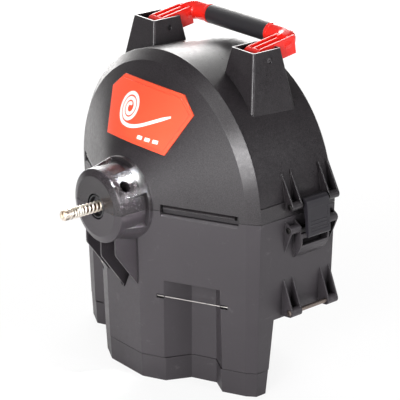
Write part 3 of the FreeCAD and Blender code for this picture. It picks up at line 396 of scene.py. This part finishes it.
def spiral_line():
    line = []
    for i in range(SPIRAL_STEPS + 1):
        t = i / SPIRAL_STEPS
        angle = 2 * math.pi * SPIRAL_TURNS * t + SPIRAL_START
        radius = SPIRAL_RADIUS + SPIRAL_GROWTH * t
        line.append((SPIRAL_X + radius * math.cos(angle), SPIRAL_Z + radius * math.sin(angle)))
    return line


def tail_line(before, start):
    """Bezier curve that carries on in the direction from before to start."""
    dx, dz = start[0] - before[0], start[1] - before[1]
    pull = TAIL_PULL / math.hypot(dx, dz)
    handle = (start[0] + dx * pull, start[1] + dz * pull)
    line = []
    for i in range(1, TAIL_STEPS + 1):
        t = i / TAIL_STEPS
        u = 1 - t
        line.append(tuple(
            u ** 3 * a + 3 * u * u * t * b + 3 * u * t * t * c + t ** 3 * d
            for a, b, c, d in zip(start, handle, TAIL_HANDLE, TAIL_END)))
    return line


def build_badge_marks():
    spiral = spiral_line()
    add_ribbon("badge_coil_mark", spiral + tail_line(*spiral[-2:]), COIL_MARK_WIDTH, taper=True)
    for i in range(3):
        start = BAR_X + BAR_SPACING * i
        line = [(start + k * BAR_STEP, BAR_Z) for k in range(BAR_POINTS)]
        add_ribbon("badge_bar_%d" % (i + 1), line, BAR_WIDTH)


# ---------------------------------------------------------------------------
# camera, floor, world and lights
# ---------------------------------------------------------------------------
YAW, PITCH = math.radians(50.12536), math.radians(21.39511)
CAMERA_PLACE = from_cad(1783.8, -1353.3, 1096.0)
VIEW_RIGHT = Vector((math.cos(YAW), math.sin(YAW), 0))
VIEW_FORWARD = Vector((-math.sin(YAW), math.cos(YAW), 0))  # level, away from the camera
FLOOR_HALF = 12  # m


def build_camera():
    back = Vector((math.sin(YAW) * math.cos(PITCH), -math.cos(YAW) * math.cos(PITCH),
                   math.sin(PITCH)))
    turn = Matrix((VIEW_RIGHT, back.cross(VIEW_RIGHT), back)).transposed().to_4x4()
    data = bpy.data.cameras.new("camera")
    camera = bpy.data.objects.new("camera", data)
    scene.collection.objects.link(camera)
    camera.matrix_world = Matrix.Translation(CAMERA_PLACE) @ turn
    data.sensor_width = 36.0
    data.lens = 157.781934
    data.clip_start = 0.05
    data.clip_end = 60.0
    scene.camera = camera


def build_floor():
    """Paper floor that mostly glows white to the camera but takes light as paper."""
    material, tree, shader, output = new_material("floor_paper")
    set_inputs(tree, shader, {
        "Base Color": (0.82, 0.82, 0.82), "Roughness": 0.9, "Specular IOR Level": 0.1})
    glow = add_node(tree, "Emission", {"Color": (1, 1, 1), "Strength": 1.0})
    path = add_node(tree, "LightPath", {})
    glow_share = calculate(tree, "MULTIPLY", path.outputs["Is Camera Ray"], 0.86)
    blend = add_node(tree, "MixShader", {
        0: glow_share, 1: shader.outputs["BSDF"], 2: glow.outputs["Emission"]})
    set_inputs(tree, output, {"Surface": blend.outputs["Shader"]})
    corners = [(x * FLOOR_HALF, y * FLOOR_HALF, 0)
               for x, y in ((-1, -1), (1, -1), (1, 1), (-1, 1))]
    add_mesh("floor", corners, [(0, 1, 2, 3)], material)


def build_world():
    world = bpy.data.worlds.new("studio")
    scene.world = world
    world.use_nodes = True
    set_inputs(world.node_tree, world.node_tree.nodes["Background"],
               {"Color": (1.0, 1.0, 1.0), "Strength": 0.20})


def add_area(name, place, target, size, watts, colour):
    data = bpy.data.lights.new(name, "AREA")
    data.energy = watts
    data.color = colour
    data.shape = "RECTANGLE"
    data.size, data.size_y = size
    light = bpy.data.objects.new(name, data)
    scene.collection.objects.link(light)
    light.location = place
    light.rotation_euler = (target - place).to_track_quat("-Z", "Y").to_euler()
    light.visible_camera = False
    return data


BODY = Vector((0, 0, 0.22))
NOSE = Vector((0.02, -0.17, 0.22))
BEAM_SPREAD = math.radians(6)
WARM, COOL = (1, 0.99, 0.98), (0.98, 0.98, 1.0)
# lamps aimed at the body: name, offset from it (m), size (m), watts, colour
BODY_LAMPS = (
    # softbox left of the camera, and a weaker one further left and lower
    ("front_soft", (0.92, -1.74, 0.62), (0.90, 0.7), 38, (1.0, 0.985, 1.0)),
    ("front_left", (0.05, -1.85, 0.30), (0.8, 1.0), 5, COOL),
    # smaller lamps that draw the streaks on the glossy nose
    ("right_side", (1.75, 0.50, 0.78), (0.55, 0.7), 15, (0.97, 0.97, 1.0)),
    ("front_high", (0.02, -1.45, 1.28), (0.6, 0.6), 4.5, (1.0, 1.0, 1.0)),
    ("back_top", (-0.60, 1.15, 1.50), (0.8, 0.8), 3, WARM),
)
# narrow beams that fall on the collar only: name, offset from the nose (m), watts
NOSE_BEAMS = (("nose_top", (0.42, 0.18, 1.30), 0.20), ("nose_right", (1.45, 0.20, 0.50), 0.06))


def build_lights():
    # bright backdrop behind, seen at grazing angles on the vault and the rims
    place = BODY + VIEW_FORWARD * 2.8 - VIEW_RIGHT * 0.30 + Vector((0, 0, 0.78))
    add_area("backdrop", place, BODY, size=(3.1, 1.8), watts=160, colour=WARM)
    for name, offset, size, watts, colour in BODY_LAMPS:
        add_area(name, BODY + Vector(offset), BODY, size, watts, colour)
    for name, offset, watts in NOSE_BEAMS:
        beam = add_area(name, NOSE + Vector(offset), NOSE, (0.12, 0.12), watts, COOL)
        beam.spread = BEAM_SPREAD


build_coil()
build_badge_marks()
build_camera()
build_floor()
build_world()
build_lights()

scene.view_settings.view_transform = "Standard"
scene.view_settings.look = "None"
scene.view_settings.exposure = 0.0

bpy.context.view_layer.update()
